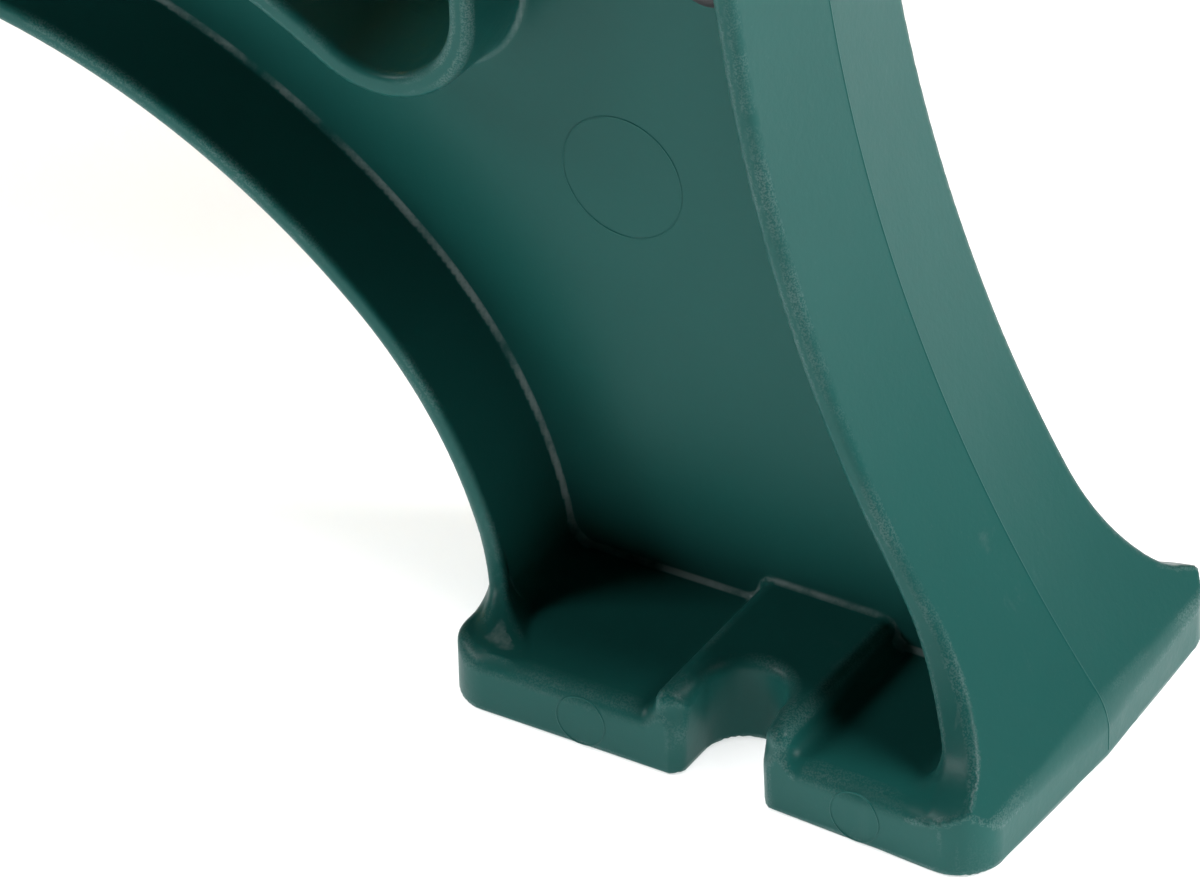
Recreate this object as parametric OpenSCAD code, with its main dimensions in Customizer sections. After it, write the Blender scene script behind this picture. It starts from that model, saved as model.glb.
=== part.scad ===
// Freestanding straight slide with two moulded side frames.
// x runs along the slide, the chute leaves towards -x; z is up, ground at z = 0.
// Origin: middle of the whole slide's length and width, on the ground. The modules
// draw around the middle of the tower and placed() moves them there.

/* [Side frame] */
// Half length of the frame on the ground
half_base = 400; // [340:5:480]
// Height of the frame
frame_height = 1000; // [900:10:1150]
// Distance from the slide's middle to the middle of a side frame
frame_y = 260; // [220:5:330]
// Width of the flanges across the frame
flange_width = 84; // [60:1:100]
// Thickness of the flanges
flange_thick = 8; // [6:0.5:12]
// Thickness of the web
web_thick = 11; // [8:0.5:16]
// Lean of the straight upper flange, degrees from upright
lean = 8.7; // [4:0.1:12]
// Radius of the flare between foot and upper flange
flare_radius = 470; // [400:10:600]
// Height at which the flare ends
flare_top = 230; // [180:5:260]
// Radius of the upper frame corners
top_corner = 60; // [30:5:90]

/* [Arch] */
// Half span of the arch on the ground
arch_half = 217; // [180:1:240]
// Height of the arch
arch_rise = 175; // [140:1:200]
// Distance of the arch's haunch centres from the middle
haunch = 70; // [50:1:90]

/* [Feet] */
// Length of a foot plate
foot_length = 185; // [150:5:185]
// Width of a foot plate across the frame
foot_width = 140; // [110:2:180]
// Thickness of a foot plate
foot_thick = 20; // [14:1:26]
// Corner radius of the inner foot corners
foot_corner = 13; // [6:1:20]
// Width of the stake notch
notch_width = 26; // [16:1:34]
// Depth of the stake notch
notch_depth = 28; // [20:1:34]
// Width of the thickened pad around the notch
pad_width = 46; // [40:1:60]
// Height of the pad above the foot plate
pad_rise = 8.5; // [4:0.5:12]
// Distance of the notch from the outer end of the foot
notch_in = 90; // [60:1:110]
// Diameter of the small round plug marks
mark_d = 16.4; // [8:0.2:17]
// Diameter of the large round plug mark
big_mark_d = 39.8; // [20:0.2:44]

/* [Windows] */
// Width of the raised rims across the frame
rim_width = 64; // [40:1:74]
// Thickness of the raised rims
rim_thick = 8; // [5:0.5:10]
// Half width of the lower window over its rim
window_half = 210.5; // [170:0.5:212]
// Upper edge of the lower window under the second step
window_drop = 68; // [60:1:110]
// Corner radius of the windows over the rim
window_corner = 34; // [20:1:40]
// Gap between arch and lower window
arch_band = 51.5; // [40:0.5:60]

/* [Deck and treads] */
// Rise from step to step
step_rise = 254; // [240:1:258]
// Depth of a tread
tread_depth = 78; // [60:1:80]
// Height of a tread
tread_height = 34; // [26:1:36]
// Height of the deck's edges
deck_height = 58; // [40:1:60]
// Wall thickness of deck and treads
wall = 6; // [4:0.5:8]
// Thickness of the end walls that bolt to the frames
end_wall = 8; // [6:0.5:10]

/* [Chute] */
// Slope of the chute in degrees
chute_slope = 36; // [30:0.5:40]
// Outer width of the chute over its rims
chute_width = 424; // [340:2:426]
// Height of the side walls above the bed
side_height = 90; // [60:2:120]
// Depth of the side walls below the bed
skirt = 36; // [34:1:50]
// Shell thickness
shell = 6; // [4:0.5:8]
// Height of the sliding surface at the exit
exit_height = 110; // [100:5:160]
// Length of the level exit part
exit_length = 230; // [180:5:300]
// Diameter of the rounded rims on the side walls
rim_d = 20; // [14:1:24]

/* [Tubes and rails] */
// Diameter of the cross tubes
tube_d = 32; // [25:1:34]
// Wall of the cross tubes
tube_wall = 2; // [1.5:0.1:3]
// Diameter of the handrail tubes
rail_d = 25; // [20:1:30]
// Height of the handrails above the frame
rail_rise = 180; // [120:5:260]
// Half distance between the legs of a handrail
rail_half = 142; // [130:1:150]
// Bend radius of the handrails
rail_bend = 60; // [40:1:80]
// Depth of the handrail sockets
socket_depth = 70; // [50:1:90]

/* [Fasteners] */
// Bolt shank diameter
bolt_d = 8; // [6:1:8]
// Tube bolt shank diameter
tube_bolt_d = 10; // [8:1:10]
// Clearance between a shank and its hole, all round
hole_gap = 0.3; // [0.2:0.05:0.6]
// Clearance between fitted round parts, all round
fit_gap = 0.4; // [0.3:0.05:0.8]

/* [Hidden] */
$fn = 96;
e = 0.05;
half_web = web_thick / 2;
half_flange = flange_width / 2;
web_in = frame_y - half_web;
web_out = frame_y + half_web;
// point where the flare meets the leaning line
base_z = 16.4;
flare_x = half_base + 0.2 - flare_radius * (cos(lean) - cos(flare_end()));
function flare_end() = asin(sin(lean) + (flare_top - base_z) / flare_radius);
function lean_x(z) = flare_x - (z - flare_top) * tan(lean);
flare_c = [flare_x + flare_radius * cos(lean), flare_top + flare_radius * sin(lean)];
corner_z = frame_height - top_corner;
corner_x = lean_x(corner_z) - top_corner / cos(lean);
// three-centred arch
haunch_r = arch_half - haunch;
crown_k = (haunch * haunch - pow(haunch_r - arch_rise, 2)) / (2 * (arch_rise - haunch_r));
crown_r = arch_rise + crown_k;
window_r = crown_r + arch_band;
window_top = step_rise * 2 - window_drop;
mid_low = step_rise * 2 - 20;
mid_high = step_rise * 3 - deck_height - 14;
mid_half = lean_x(mid_low) - 130;
top_low = step_rise * 3 + 40;
top_high = frame_height - 68;
top_half = rail_half - 36;
deck_z = step_rise * 3;
deck_back = lean_x(deck_z) - 15;
deck_front = 165;
ledge = 14;
hang_x = -deck_front - ledge - tube_d / 2 - 3;
hang_z = deck_z - shell - tube_d / 2 - fit_gap;
brace_x = -(window_half + lean_x(step_rise) - flange_thick) / 2;
brace_z = step_rise - 14;
tread_1 = lean_x(step_rise) - flange_thick - 3 - tread_depth;
tread_2 = lean_x(step_rise * 2) - flange_thick - 3 - tread_depth;
foot_in = half_base - foot_length;
notch_x = half_base - notch_in;
notch_r = notch_width / 2;
pad_out = foot_width / 2 - 4;
// chute path
entry_x = -deck_front - 1;
bend_1 = 140;
bend_2 = 320;
lip = lean_x(deck_z) - deck_front + 20;
path_a = [entry_x - lip, deck_z];
drop = deck_z - exit_height;
arc_drop = (bend_1 + bend_2) * (1 - cos(chute_slope));
run = (drop - arc_drop) / tan(chute_slope);
path_b = [path_a[0] - bend_1 * sin(chute_slope), deck_z - bend_1 * (1 - cos(chute_slope))];
path_c = [path_b[0] - run, path_b[1] - (drop - arc_drop)];
path_d = [path_c[0] - bend_2 * sin(chute_slope), exit_height];
path_e = [path_d[0] - exit_length, exit_height];
roll_r = 42;
roll_a = 62;
end_x = path_e[0] - max([for (i = [0:10])
  (roll_r + (side_height + 8) * (1 - 0.8 * pow(i / 10, 1.5))) * sin(roll_a * i / 10)]);
shift_x = -(end_x + half_base) / 2;
wall_y = chute_width / 2 - rim_d / 2 - shell / 2;
exit_x = path_d[0] - exit_length * 0.45;
exit_half = wall_y - fit_gap;

// ---- helpers ----

// extrudes a side-view outline (x, z) symmetrically about y = 0
module across(w) {
  rotate([90, 0, 0]) linear_extrude(height = w, center = true) children();
}

module along_y(r, y0, y1) {
  translate([0, y0, 0]) rotate([-90, 0, 0]) cylinder(r = r, h = y1 - y0, $fn = 48);
}

module placed() {
  translate([shift_x, 0, 0]) children();
}

module both_sides() {
  children();
  mirror([0, 1, 0]) children();
}

// ---- side frame ----

// points on an arc, angles in degrees
function arc(c, r, a0, a1, n) = [for (i = [0:n]) let (a = a0 + (a1 - a0) * i / n)
  c + r * [cos(a), sin(a)]];

function mirrored(p) = [for (i = [len(p) - 1:-1:0]) [-p[i][0], p[i][1]]];

// outline that is symmetric about x = 0, given by its right half
module halves(p) {
  polygon(concat(p, mirrored(p)));
}

// outer outline, moved inwards by o
module outline(o) {
  r = flare_radius + o;
  halves(concat([[half_base - o, 0], [half_base - o, base_z - 1]],
    arc(flare_c, r, 180 + asin((flare_c[1] - base_z) / r), 180 + lean, 20),
    arc([corner_x, corner_z], top_corner - o, lean, 90, 9)));
}

// arch opening, grown by o
module arch(o) {
  a = atan2(crown_k, haunch);
  halves(concat([[arch_half + o, -20]], arc([haunch, 0], haunch_r + o, 0, a, 14),
    arc([0, -crown_k], crown_r + o, a + 1, 89, 12)));
}

// lower window over its rim, moved inwards by o
module window(o) {
  r = window_corner - o;
  cx = window_half - window_corner;
  cz = -crown_k + sqrt(pow(window_r + window_corner, 2) - cx * cx);
  a = atan2(cz + crown_k, cx);
  halves(concat(arc([0, -crown_k], window_r + o, 89, a + 1, 12), arc([cx, cz], r, a - 180, 0, 10),
    arc([cx, window_top - window_corner], r, 0, 90, 8)));
}

// upper windows: rounded trapezoids over their rims, moved inwards by o
module slot(half, low, high, o) {
  r = window_corner - o;
  h = high - low - 2 * window_corner;
  c = [half - window_corner, low + window_corner];
  halves(concat(arc(c, r, -90, lean, 9), arc(c + [-h * tan(lean), h], r, lean, 90, 8)));
}

module openings(o) {
  window(o);
  slot(mid_half, mid_low, mid_high, o);
  slot(top_half, top_low, top_high, o);
}

module ground() {
  translate([-half_base, 0]) square([2 * half_base, frame_height]);
}

// one foot with its pads, before the notches are cut
module foot_body() {
  w = foot_width / 2;
  r = foot_corner;
  linear_extrude(height = foot_thick) {
    translate([foot_in + r, -w]) square([foot_length - r, foot_width]);
    translate([foot_in, -w + r]) square([foot_length, foot_width - 2 * r]);
    for (s = [-1, 1]) translate([foot_in + r, s * (w - r)]) circle(r = r);
  }
  translate([notch_x - pad_width / 2, -pad_out, 0])
    cube([pad_width, 2 * pad_out, foot_thick + pad_rise]);
  // the outer flange widens down to the foot plate's full width
  r2 = w - half_flange;
  intersection() {
    across(foot_width) difference() {
      outline(0);
      outline(flange_thick);
    }
    translate([notch_x, 0, 0]) rotate([90, 0, 90]) linear_extrude(height = notch_in + 5)
      halves(concat([[w, 1], [w, foot_thick]], arc([w, foot_thick + r2], r2, 268, 182, 10),
        [[half_flange - 2, foot_thick + r2]]));
  }
}

module foot_cuts() {
  h = foot_thick + pad_rise + 2;
  w = foot_width / 2;
  for (s = [-1, 1]) {
    translate([notch_x, s * (w - notch_depth + notch_r), -1]) cylinder(r = notch_r, h = h);
    translate([notch_x - notch_r, s > 0 ? w - notch_depth + notch_r : -w - 1, -1])
      cube([notch_width, notch_depth - notch_r + 1, h]);
    for (x = [foot_in + 48.6, half_base - 44]) translate([x, s * (w - 0.4), 9.2])
      plug_mark(mark_d, s);
  }
}

// shallow ring groove opening towards y = s
module plug_mark(d, s) {
  rotate([-90 * s, 0, 0]) difference() {
    cylinder(d = d, h = 2);
    translate([0, 0, -1]) cylinder(d = d - 1.6, h = 4);
  }
}

module frame_body() {
  difference() {
    union() {
      across(web_thick) difference() {
        outline(flange_thick / 2);
        arch(flange_thick / 2);
        openings(rim_thick / 2);
      }
      across(flange_width) intersection() {
        ground();
        union() {
          difference() {
            outline(0);
            outline(flange_thick);
            arch(1);
            translate([-half_base, -1]) square([2 * half_base, 2]);
          }
          difference() {
            arch(flange_thick);
            arch(0);
          }
        }
      }
      across(rim_width) difference() {
        openings(0);
        openings(rim_thick);
      }
      for (m = [0, 1]) mirror([m, 0, 0]) foot_body();
      for (s = [-1, 1]) translate([s * rail_half, 0, frame_height - socket_depth - 8])
        cylinder(r = rail_d / 2 + 8, h = socket_depth + 8);
    }
    for (m = [0, 1]) mirror([m, 0, 0]) foot_cuts();
    for (m = [0, 1]) mirror([m, 0, 0]) for (s = [-1, 1])
      translate([half_base - 156.7, s * (half_web - 0.4), 154]) plug_mark(big_mark_d, s);
    for (s = [-1, 1]) translate([s * rail_half, 0, frame_height - socket_depth])
      cylinder(r = rail_d / 2 + fit_gap, h = socket_depth + 1);
  }
}

// bolt holes of a frame standing at +frame_y
module frame_holes() {
  for (p = concat(deck_points(), tread_points())) translate([p[0], -half_web - 1, p[1]])
    along_y(bolt_d / 2 + hole_gap, 0, web_thick + 2);
  for (p = tube_points()) translate([p[0], -half_web - 1, p[1]])
    along_y(tube_bolt_d / 2 + hole_gap, 0, web_thick + 2);
  for (s = [-1, 1]) translate([s * rail_half, 0, frame_height - 40])
    along_y(3 + hole_gap, 0, rail_d / 2 + 9);
}

module side_frame() {
  placed() color([0.11, 0.32, 0.26]) translate([0, frame_y, 0]) difference() {
    frame_body();
    frame_holes();
  }
}

module side_frame_near() {
  mirror([0, 1, 0]) side_frame();
}

module side_frame_far() {
  side_frame();
}

function deck_points() = [for (x = [-deck_front + 40, 20, deck_back - 45]) [x, deck_z - 30]];
function tread_points() = [for (i = [0, 1], s = [-1, 1])
  [(i == 0 ? tread_1 : tread_2) + tread_depth / 2 + s * 20, step_rise * (i + 1) - 18]];
function tube_points() = [[hang_x, hang_z], [brace_x, brace_z]];

// ---- deck and treads ----

// open-bottomed moulded box between the frame webs
module moulded_box(x0, x1, top, h, ribs) {
  difference() {
    translate([x0, -web_in, top - h]) cube([x1 - x0, 2 * web_in, h]);
    translate([x0 + wall, -web_in + end_wall, top - h - 1])
      cube([x1 - x0 - 2 * wall, 2 * (web_in - end_wall), h + 1 - wall]);
  }
  for (i = [1:ribs]) translate([x0 + 1, -web_in + end_wall +
    2 * (web_in - end_wall) * i / (ribs + 1) - 2, top - h + 6])
    cube([x1 - x0 - 2, 4, h - 8]);
}

function grip_rows(x0, x1, n) = [for (i = [0:n - 1]) x0 + (x1 - x0) * (i + 0.5) / n];

module grip(x, top, len, gap) {
  translate([x - 7 - gap, -len / 2 - gap, top - 2])
    cube([14 + 2 * gap, len + 2 * gap, gap > 0 ? 3 : 3.2]);
}

module deck_panel() {
  placed() color([0.75, 0.62, 0.36]) difference() {
    union() {
      moulded_box(-deck_front, deck_back, deck_z, deck_height, 5);
      // ledge that carries the upper end of the chute
      translate([-deck_front - ledge, -wall_y + 14, deck_z - shell - 8])
        cube([ledge + wall, 2 * (wall_y - 14), 8]);
    }
    for (x = grip_rows(-deck_front + 30, deck_back - 10, 4)) grip(x, deck_z, 360, 0.2);
    for (p = deck_points(), s = [-1, 1]) translate([p[0], s > 0 ? web_in - end_wall - 1 :
      -web_in - 1, p[1]]) along_y(bolt_d / 2 + hole_gap, 0, end_wall + 2);
  }
}

module deck_grips() {
  placed() color([0.12, 0.12, 0.12]) for (x = grip_rows(-deck_front + 30, deck_back - 10, 4))
    grip(x, deck_z, 360, 0);
}

module tread(x0, top) {
  placed() color([0.75, 0.62, 0.36]) difference() {
    moulded_box(x0, x0 + tread_depth, top, tread_height, 5);
    for (x = grip_rows(x0, x0 + tread_depth, 3)) grip(x, top, 380, 0.2);
    for (s = [-1, 1], t = [-1, 1]) translate([x0 + tread_depth / 2 + t * 20,
      s > 0 ? web_in - end_wall - 1 : -web_in - 1, top - 18])
      along_y(bolt_d / 2 + hole_gap, 0, end_wall + 2);
  }
}

module tread_lower() {
  tread(tread_1, step_rise);
}

module tread_upper() {
  tread(tread_2, step_rise * 2);
}

module tread_grips() {
  placed() color([0.12, 0.12, 0.12]) for (i = [1, 2])
    for (x = grip_rows(i == 1 ? tread_1 : tread_2, (i == 1 ? tread_1 : tread_2) + tread_depth, 3))
      grip(x, step_rise * i, 380, 0);
}

// ---- cross tubes ----

module cross_tube(p) {
  placed() color([0.7, 0.71, 0.72]) translate([p[0], 0, p[1]]) difference() {
    along_y(tube_d / 2, -web_in, web_in);
    along_y(tube_d / 2 - tube_wall, -web_in - 1, web_in + 1);
  }
}

module hanger_tube() {
  cross_tube(tube_points()[0]);
}

module brace_tube() {
  cross_tube(tube_points()[1]);
}

module hanger_sleeves() {
  placed() color([0.12, 0.12, 0.12]) both_sides() translate([hang_x, 0, hang_z]) difference() {
    along_y(tube_d / 2 + 5, wall_y + shell / 2 + 0.5, web_in - 0.5);
    along_y(tube_d / 2 + fit_gap, wall_y, web_in + 1);
  }
}

module tube_inserts() {
  placed() color([0.12, 0.12, 0.12]) both_sides() for (p = tube_points()) translate([p[0], 0, p[1]])
    difference() {
      along_y(tube_d / 2 - tube_wall - fit_gap / 2, web_in - 40, web_in);
      along_y(tube_bolt_d / 2 + hole_gap, web_in - 41, web_in + 1);
    }
}

module tube_bolts() {
  placed() color([0.7, 0.71, 0.72]) both_sides() for (p = tube_points()) translate([p[0], 0, p[1]]) {
    along_y(tube_bolt_d / 2, web_in - 32, web_out + 3);
    along_y(10, web_out + 2, web_out + 8);
  }
}

module tube_washers() {
  placed() color([0.7, 0.71, 0.72]) both_sides() for (p = tube_points()) translate([p[0], 0, p[1]])
    difference() {
      along_y(12, web_out, web_out + 2);
      along_y(tube_bolt_d / 2 + hole_gap, web_out - 1, web_out + 3);
    }
}

// ---- bolts through the webs ----

module bolts(points) {
  placed() color([0.7, 0.71, 0.72]) both_sides() for (p = points) translate([p[0], 0, p[1]]) {
    along_y(bolt_d / 2, web_in - end_wall - 11, web_out + 2.5);
    along_y(8, web_out + 1.6, web_out + 5.5);
  }
}

module washers(points) {
  placed() color([0.7, 0.71, 0.72]) both_sides() for (p = points) translate([p[0], 0, p[1]])
    difference() {
      along_y(9, web_out, web_out + 1.6);
      along_y(bolt_d / 2 + hole_gap, web_out - 1, web_out + 2);
    }
}

module nuts(points) {
  placed() color([0.7, 0.71, 0.72]) both_sides() for (p = points) translate([p[0], 0, p[1]])
    difference() {
      translate([0, web_in - end_wall - 7, 0]) rotate([-90, 0, 0])
        cylinder(r = 7.5, h = 7, $fn = 6);
      along_y(bolt_d / 2 + hole_gap, web_in - end_wall - 8, web_in - end_wall + 1);
    }
}

module deck_bolts() {
  bolts(deck_points());
}

module deck_washers() {
  washers(deck_points());
}

module deck_nuts() {
  nuts(deck_points());
}

module tread_bolts() {
  bolts(tread_points());
}

module tread_washers() {
  washers(tread_points());
}

module tread_nuts() {
  nuts(tread_points());
}

module bolt_caps() {
  placed() color([0.11, 0.32, 0.26]) both_sides() for (p = concat(deck_points(), tread_points()))
    translate([p[0], 0, p[1]]) difference() {
      union() {
        along_y(12, web_out, web_out + 5);
        translate([0, web_out + 5, 0]) rotate([-90, 0, 0]) cylinder(r1 = 12, r2 = 9, h = 3.5);
      }
      along_y(9 + fit_gap, web_out - 1, web_out + 6);
    }
}

// ---- chute ----

function turn(c, r, a0, a1, n) = [for (i = [0:n]) let (a = a0 + (a1 - a0) * i / n)
  [c[0] + r * sin(a), c[1] + r * cos(a)]];

// points of the sliding face from entry to exit, moved by o above it;
// the offset runs out towards the rolled end, which tapers the side walls
function slide_line(o) = concat(
  [[entry_x, deck_z + o]],
  turn([path_a[0], deck_z - bend_1], bend_1 + o, 0, -chute_slope, 10),
  turn([path_d[0], exit_height + bend_2], bend_2 - o, 180 - chute_slope, 180, 16),
  [for (i = [0:10]) let (a = -roll_a * i / 10, r = roll_r + o * (1 - 0.8 * pow(i / 10, 1.5)))
    [path_e[0] + r * sin(a), exit_height - roll_r + r * cos(a)]]);

function back_way(p) = [for (i = [len(p) - 1:-1:0]) p[i]];

module band(low, high) {
  polygon(concat(slide_line(high), back_way(slide_line(low))));
}

module chute() {
  placed() color([0.72, 0.16, 0.12]) difference() {
    union() {
      across(2 * wall_y) band(-shell, 0);
      both_sides() translate([0, wall_y, 0]) across(shell) band(-skirt, side_height);
      both_sides() translate([0, wall_y, 0]) across(rim_d) band(side_height - 2, side_height + 8);
      for (t = [0:6]) chute_rib(t / 6);
    }
    both_sides() translate([hang_x, 0, hang_z])
      along_y(tube_d / 2 + fit_gap, wall_y - shell, wall_y + shell);
    both_sides() for (t = [-1, 1]) translate([exit_x + t * 36, 0, exit_height - shell - 16])
      along_y(3 + hole_gap, wall_y - shell, wall_y + shell);
  }
}

// stiffening rib under the straight part, t from 0 (top) to 1 (bottom)
module chute_rib(t) {
  p = path_b + (path_c - path_b) * (0.04 + 0.92 * t);
  translate([p[0], 0, p[1]]) rotate([0, -chute_slope, 0])
    translate([-2.5, -wall_y, -24]) cube([5, 2 * wall_y, 22]);
}

// ---- exit base ----

module exit_base() {
  h = exit_height - shell;
  placed() color([0.11, 0.32, 0.26]) translate([exit_x, 0, 0]) difference() {
    union() {
      translate([-6, -exit_half + 5, 0]) cube([12, 2 * exit_half - 10, h]);
      translate([-60, -exit_half + shell / 2, h - 30])
        cube([120, 2 * exit_half - shell, 30]);
      both_sides() translate([-60, exit_half - shell / 2 - 70, 0]) cube([120, 70, 20]);
      both_sides() translate([-60, exit_half - shell / 2 - 10, 10]) cube([120, 10, h - 12]);
    }
    translate([-61, -exit_half + 18, h - 22]) cube([54, 2 * exit_half - 36, 14]);
    translate([7, -exit_half + 18, h - 22]) cube([54, 2 * exit_half - 36, 14]);
    rotate([90, 0, 90]) linear_extrude(height = 130, center = true) {
      intersection() {
        translate([0, 6]) circle(r = 62);
        translate([-80, -1]) square([160, h - 37]);
      }
    }
    both_sides() for (t = [-1, 1]) translate([t * 36, 0, h - 16])
      along_y(2.7, exit_half - 28, exit_half + 1);
  }
}

module exit_screws() {
  placed() color([0.7, 0.71, 0.72]) both_sides() for (t = [-1, 1])
    translate([exit_x + t * 36, 0, exit_height - shell - 16]) {
      along_y(2.5, exit_half - 26, wall_y + shell / 2 + 1);
      along_y(6, wall_y + shell / 2, wall_y + shell / 2 + 3.5);
    }
}

// ---- handrails ----

module handrail() {
  z0 = frame_height - socket_depth;
  zt = frame_height + rail_rise - rail_bend;
  placed() color([0.16, 0.36, 0.62]) translate([0, frame_y, 0]) {
    for (s = [-1, 1]) {
      translate([s * rail_half, 0, z0]) cylinder(d = rail_d, h = zt - z0 + e);
      translate([s * (rail_half - rail_bend), 0, zt]) rotate([90, 0, s > 0 ? 0 : 180])
        rotate_extrude(angle = 90) translate([rail_bend, 0]) circle(d = rail_d);
    }
    translate([-rail_half + rail_bend - e, 0, zt + rail_bend]) rotate([0, 90, 0])
      cylinder(d = rail_d, h = 2 * (rail_half - rail_bend) + 2 * e);
  }
}

module handrail_near() {
  mirror([0, 1, 0]) handrail();
}

module handrail_far() {
  handrail();
}

module rail_collars() {
  placed() color([0.12, 0.12, 0.12]) both_sides() for (s = [-1, 1])
    translate([s * rail_half, frame_y, frame_height]) difference() {
      cylinder(r = rail_d / 2 + 7, h = 10);
      translate([0, 0, -1]) cylinder(r = rail_d / 2 + fit_gap, h = 12);
    }
}

module rail_screws() {
  placed() color([0.7, 0.71, 0.72]) both_sides() for (s = [-1, 1])
    translate([s * rail_half, frame_y, frame_height - 40]) {
      along_y(3, rail_d / 2 + 0.2, rail_d / 2 + 9);
      along_y(6, rail_d / 2 + 8.1, rail_d / 2 + 12);
    }
}

side_frame_near();
side_frame_far();
deck_panel();
deck_grips();
tread_lower();
tread_upper();
tread_grips();
hanger_tube();
hanger_sleeves();
brace_tube();
tube_inserts();
tube_bolts();
tube_washers();
chute();
exit_base();
exit_screws();
handrail_near();
handrail_far();
rail_collars();
rail_screws();
deck_bolts();
deck_washers();
deck_nuts();
tread_bolts();
tread_washers();
tread_nuts();
bolt_caps();
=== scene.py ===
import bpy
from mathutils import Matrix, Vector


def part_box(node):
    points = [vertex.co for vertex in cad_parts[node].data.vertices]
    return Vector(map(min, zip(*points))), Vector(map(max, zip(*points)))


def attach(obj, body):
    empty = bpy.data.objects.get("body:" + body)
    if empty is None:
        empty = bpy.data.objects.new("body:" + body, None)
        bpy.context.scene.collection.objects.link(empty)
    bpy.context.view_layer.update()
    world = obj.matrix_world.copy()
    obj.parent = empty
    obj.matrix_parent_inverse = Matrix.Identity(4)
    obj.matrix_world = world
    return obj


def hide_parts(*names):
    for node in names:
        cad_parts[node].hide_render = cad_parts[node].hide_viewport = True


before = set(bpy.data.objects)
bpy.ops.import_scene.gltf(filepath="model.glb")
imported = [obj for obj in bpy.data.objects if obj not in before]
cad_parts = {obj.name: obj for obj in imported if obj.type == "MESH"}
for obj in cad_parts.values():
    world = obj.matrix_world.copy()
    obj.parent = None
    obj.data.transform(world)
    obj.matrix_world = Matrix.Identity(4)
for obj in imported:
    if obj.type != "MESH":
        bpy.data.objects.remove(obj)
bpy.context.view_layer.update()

import math

import bmesh
import bpy
import numpy as np
import openvdb
from mathutils import Matrix, Vector

MM = 0.001
FRAME_Y = 260.0
lo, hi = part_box("side_frame_near")
X0 = (lo[0] + hi[0]) / 2 / MM  # middle of the tower along the slide, in mm


def sind(a):
    return math.sin(math.radians(a))


def cosd(a):
    return math.cos(math.radians(a))


def tand(a):
    return math.tan(math.radians(a))


# ---------------------------------------------------------------- camera
AZIMUTH, PITCH, ROLL = 32.269, 34.511, -1.86
LENS, SENSOR = 239.3574, 36.0
# the eye seen from a point on the ground under the near frame: across, up and back, in mm
AIM_X = 389.9
EYE_OFFSET = (-138.7736, 89.5111, 2316.6969)


def make_camera():
    """A long lens close to the ladder-side foot of the near frame, at the photo's angle."""
    back = np.array([sind(AZIMUTH) * cosd(PITCH), -cosd(AZIMUTH) * cosd(PITCH), sind(PITCH)])
    level = np.array([cosd(AZIMUTH), sind(AZIMUTH), 0.0])
    rise = np.cross(back, level)
    across = cosd(ROLL) * level + sind(ROLL) * rise
    upward = cosd(ROLL) * rise - sind(ROLL) * level
    axes = np.stack([across, upward, back], 1)
    eye = (axes @ np.array(EYE_OFFSET) + np.array([X0 + AIM_X, -FRAME_Y, 0.0])) * MM
    data = bpy.data.cameras.new("camera")
    data.sensor_width = SENSOR
    data.lens = LENS
    data.clip_end = 60.0
    ob = bpy.data.objects.new("camera", data)
    bpy.context.collection.objects.link(ob)
    pose = Matrix(axes.tolist()).to_4x4()
    pose.translation = eye
    ob.matrix_world = pose
    bpy.context.scene.camera = ob


make_camera()


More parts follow.
